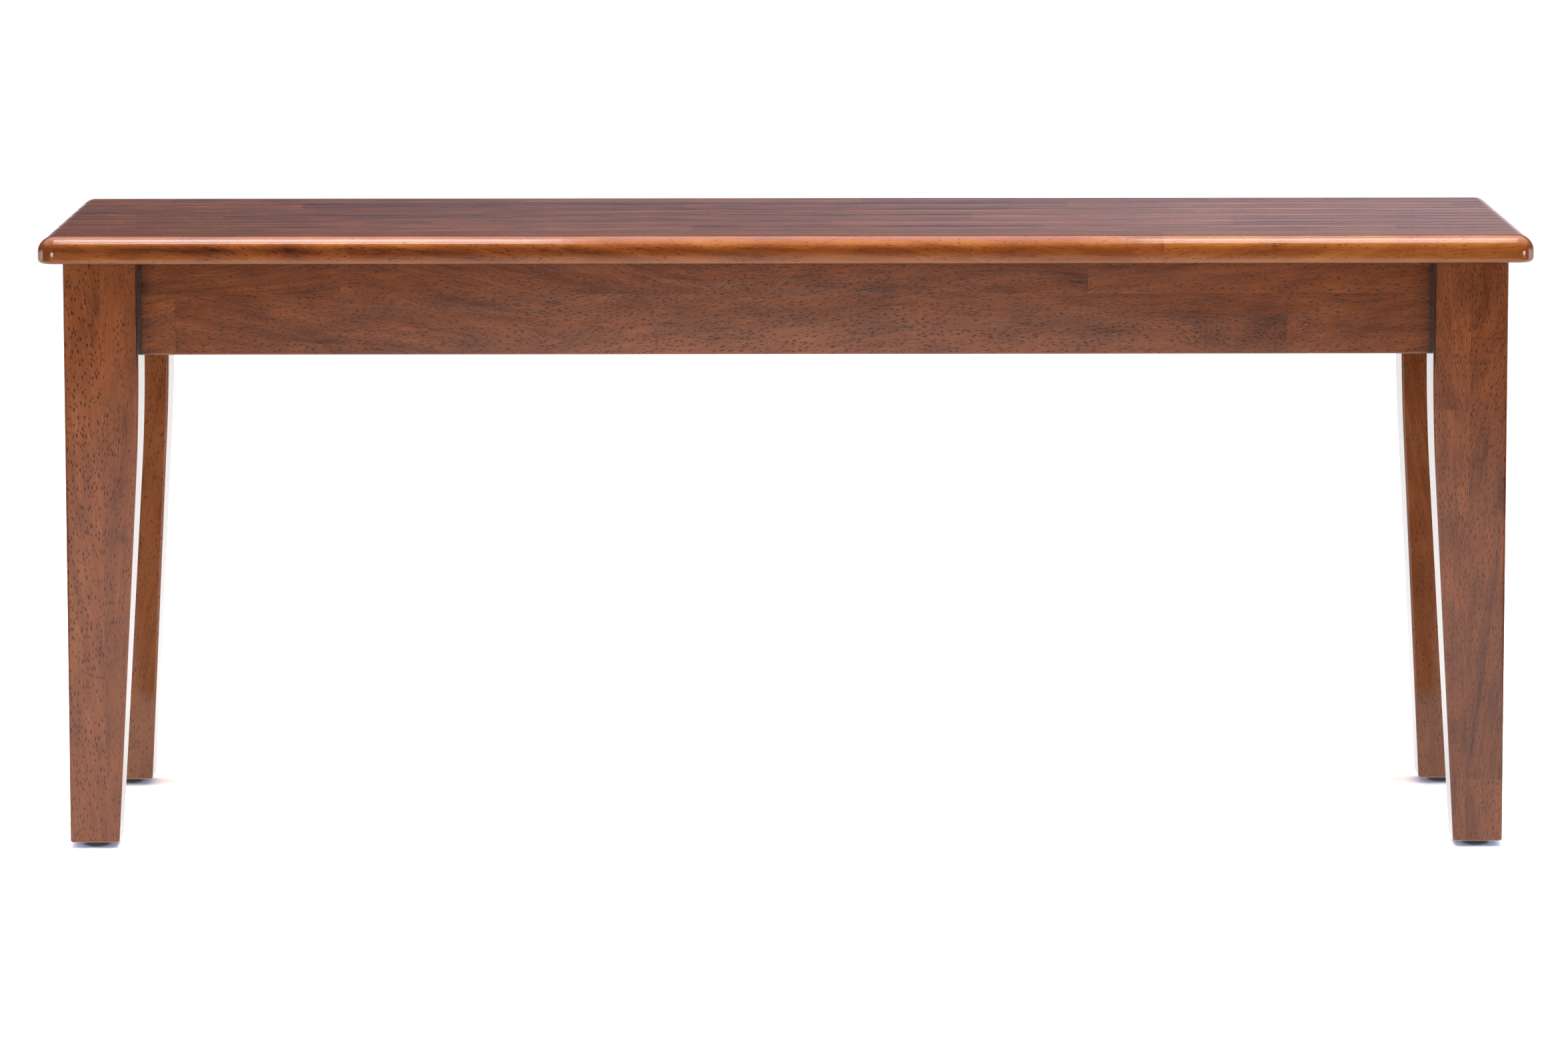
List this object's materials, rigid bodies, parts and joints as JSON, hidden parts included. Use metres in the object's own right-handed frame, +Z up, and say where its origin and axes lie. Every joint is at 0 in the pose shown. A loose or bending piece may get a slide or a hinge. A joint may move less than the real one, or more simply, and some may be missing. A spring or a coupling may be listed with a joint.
{
  "type": "shaker bench",
  "caption": "Backless shaker dining bench with a rounded-edge slab seat, square legs tapered on their inner faces, and plain aprons all round.",
  "frame": {"origin": "on the floor, under the middle of the seat", "axes": "+X along the bench to the right of someone facing its front, +Y towards its rear, +Z up; the front is the -Y side that the picture shows"},
  "size_m": [1.1, 0.35, 0.457],
  "materials": {
    "walnut_stained_rubberwood": "walnut stain under a clear semi-gloss lacquer, on edge-glued, finger-jointed rubberwood",
    "plain_rubberwood": "sanded and left unfinished",
    "beech_dowel": "turned, unfinished",
    "zinc_plated_steel": "bright zinc plating",
    "moulded_nylon": "moulded, satin"
  },
  "bodies": {
    "root": {"brace_dowels": "beech_dowel", "brace_to_seat_screws": "zinc_plated_steel", "centre_brace": "plain_rubberwood", "corner_block_to_apron_screws": "zinc_plated_steel", "corner_block_to_seat_screws": "zinc_plated_steel", "front_apron_lower_strip": "walnut_stained_rubberwood", "front_apron_upper_strip": "walnut_stained_rubberwood", "front_left_corner_block": "plain_rubberwood", "front_left_glide": "moulded_nylon", "front_left_leg_inner_layer": "walnut_stained_rubberwood", "front_left_leg_outer_layer": "walnut_stained_rubberwood", "front_right_corner_block": "plain_rubberwood", "front_right_glide": "moulded_nylon", "front_right_leg_inner_layer": "walnut_stained_rubberwood", "front_right_leg_outer_layer": "walnut_stained_rubberwood", "glide_nails": "zinc_plated_steel", "left_apron_lower_strip": "walnut_stained_rubberwood", "left_apron_upper_strip": "walnut_stained_rubberwood", "leg_bolt_nuts": "zinc_plated_steel", "leg_bolt_spring_washers": "zinc_plated_steel", "leg_bolt_washers": "zinc_plated_steel", "leg_bolts": "zinc_plated_steel", "rear_apron_lower_strip": "walnut_stained_rubberwood", "rear_apron_upper_strip": "walnut_stained_rubberwood", "rear_left_corner_block": "plain_rubberwood", "rear_left_glide": "moulded_nylon", "rear_left_leg_inner_layer": "walnut_stained_rubberwood", "rear_left_leg_outer_layer": "walnut_stained_rubberwood", "rear_right_corner_block": "plain_rubberwood", "rear_right_glide": "moulded_nylon", "rear_right_leg_inner_layer": "walnut_stained_rubberwood", "rear_right_leg_outer_layer": "walnut_stained_rubberwood", "right_apron_lower_strip": "walnut_stained_rubberwood", "right_apron_upper_strip": "walnut_stained_rubberwood", "seat_board_1": "walnut_stained_rubberwood", "seat_board_2": "walnut_stained_rubberwood", "seat_board_3": "walnut_stained_rubberwood", "seat_board_4": "walnut_stained_rubberwood", "seat_board_5": "walnut_stained_rubberwood", "seat_board_6": "walnut_stained_rubberwood", "seat_board_7": "walnut_stained_rubberwood"}
  },
  "joints": []
}
